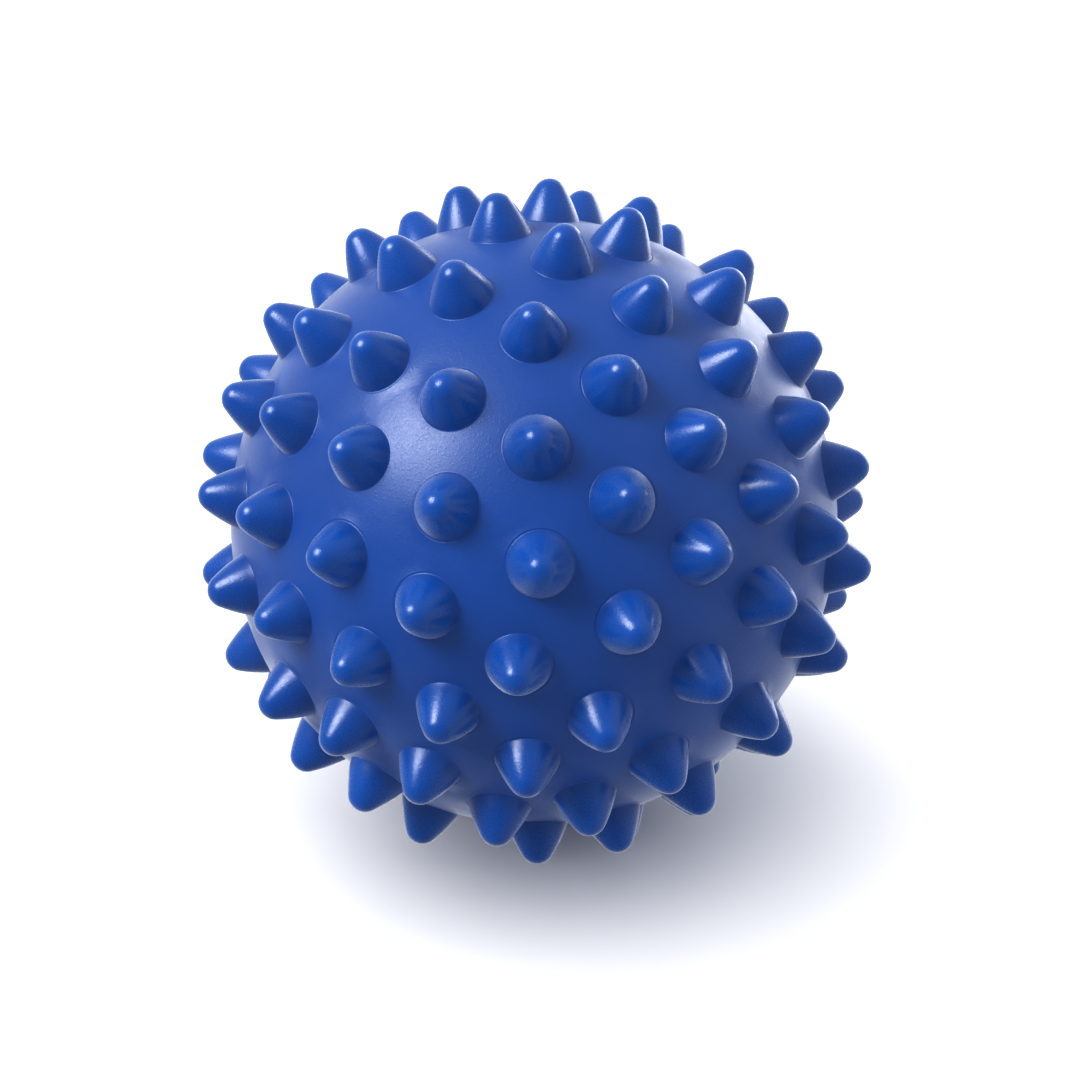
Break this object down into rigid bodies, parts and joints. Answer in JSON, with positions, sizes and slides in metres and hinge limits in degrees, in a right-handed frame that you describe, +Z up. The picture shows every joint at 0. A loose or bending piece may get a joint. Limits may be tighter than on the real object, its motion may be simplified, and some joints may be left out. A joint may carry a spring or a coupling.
{
  "type": "massage ball",
  "caption": "Hollow soft plastic ball covered in blunt conical spikes for hand and foot massage, with a pull-out plug in a bonded seat to let air in or out.",
  "frame": {"origin": "on the surface that the ball stands on, straight below the ball's centre", "axes": "+Z up, +Y away from the viewer of the picture, +X to the viewer's right; the ball stands on three spike tips with its valve facing back and up"},
  "size_m": [0.0887, 0.0892, 0.0891],
  "materials": {
    "skin": "satin",
    "seat": "matte",
    "plug": "satin"
  },
  "bodies": {
    "ball": {"ball_skin": "skin", "valve_seat": "seat"},
    "plug": {"valve_plug": "plug"}
  },
  "joints": [
    {"name": "plug_pull", "type": "slide", "parent": "ball", "child": "plug", "axis": [0.3189, 0.868, 0.3806], "range_m": [0, 0.018]}
  ]
}
